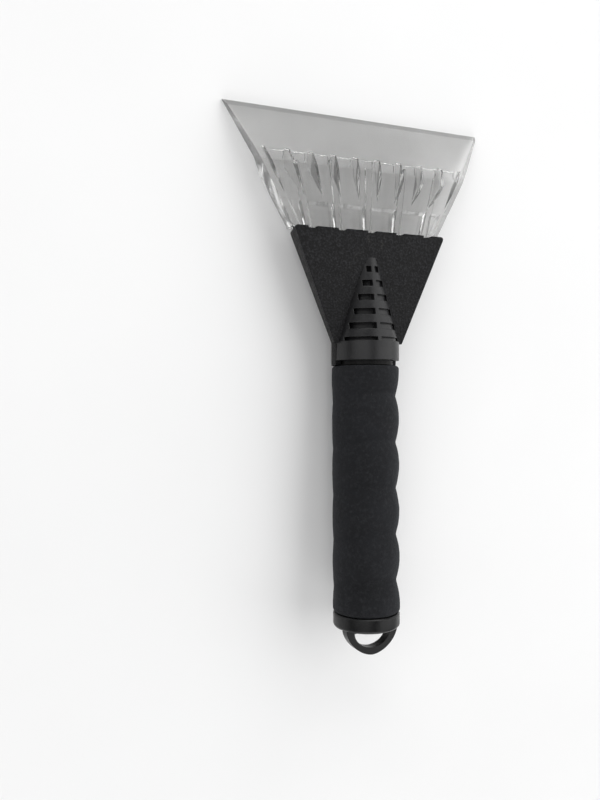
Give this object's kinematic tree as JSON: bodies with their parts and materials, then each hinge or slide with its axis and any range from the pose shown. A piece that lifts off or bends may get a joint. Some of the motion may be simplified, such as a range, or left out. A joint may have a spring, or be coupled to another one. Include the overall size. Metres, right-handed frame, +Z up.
{
  "type": "windshield ice scraper",
  "caption": "Hand ice scraper with a clear bevelled toothed blade in a two-shell black head, a finger-grooved foam grip on a tube, and an end cap with a hanging loop.",
  "frame": {"origin": "centre of the bounding box at floor level, with the tool lying on its back as it comes to rest", "axes": "+Y along the tool towards the scraping edge, +X across the blade, +Z up out of the front face; the handle rises 4.28 degrees towards the end cap because the blade's edge and the head's collar touch the floor"},
  "size_m": [0.1216, 0.2266, 0.0371],
  "materials": {
    "blade_clear": "clear polycarbonate, polished, slightly grey",
    "head_black": "fine spark-eroded texture, moulded black ABS",
    "core_black": "plain moulded black plastic",
    "foam_black": "closed-cell foam, matte, fine pores",
    "cap_black": "satin moulded black plastic",
    "screw_steel": "zinc plated"
  },
  "bodies": {
    "root": {"blade": "blade_clear", "head_front_cover": "head_black", "head_rear_shell": "head_black", "handle_core": "core_black", "foam_grip": "foam_black", "end_cap": "cap_black", "head_screw_left": "screw_steel", "head_screw_right": "screw_steel", "head_screw_lower": "screw_steel"}
  },
  "joints": []
}
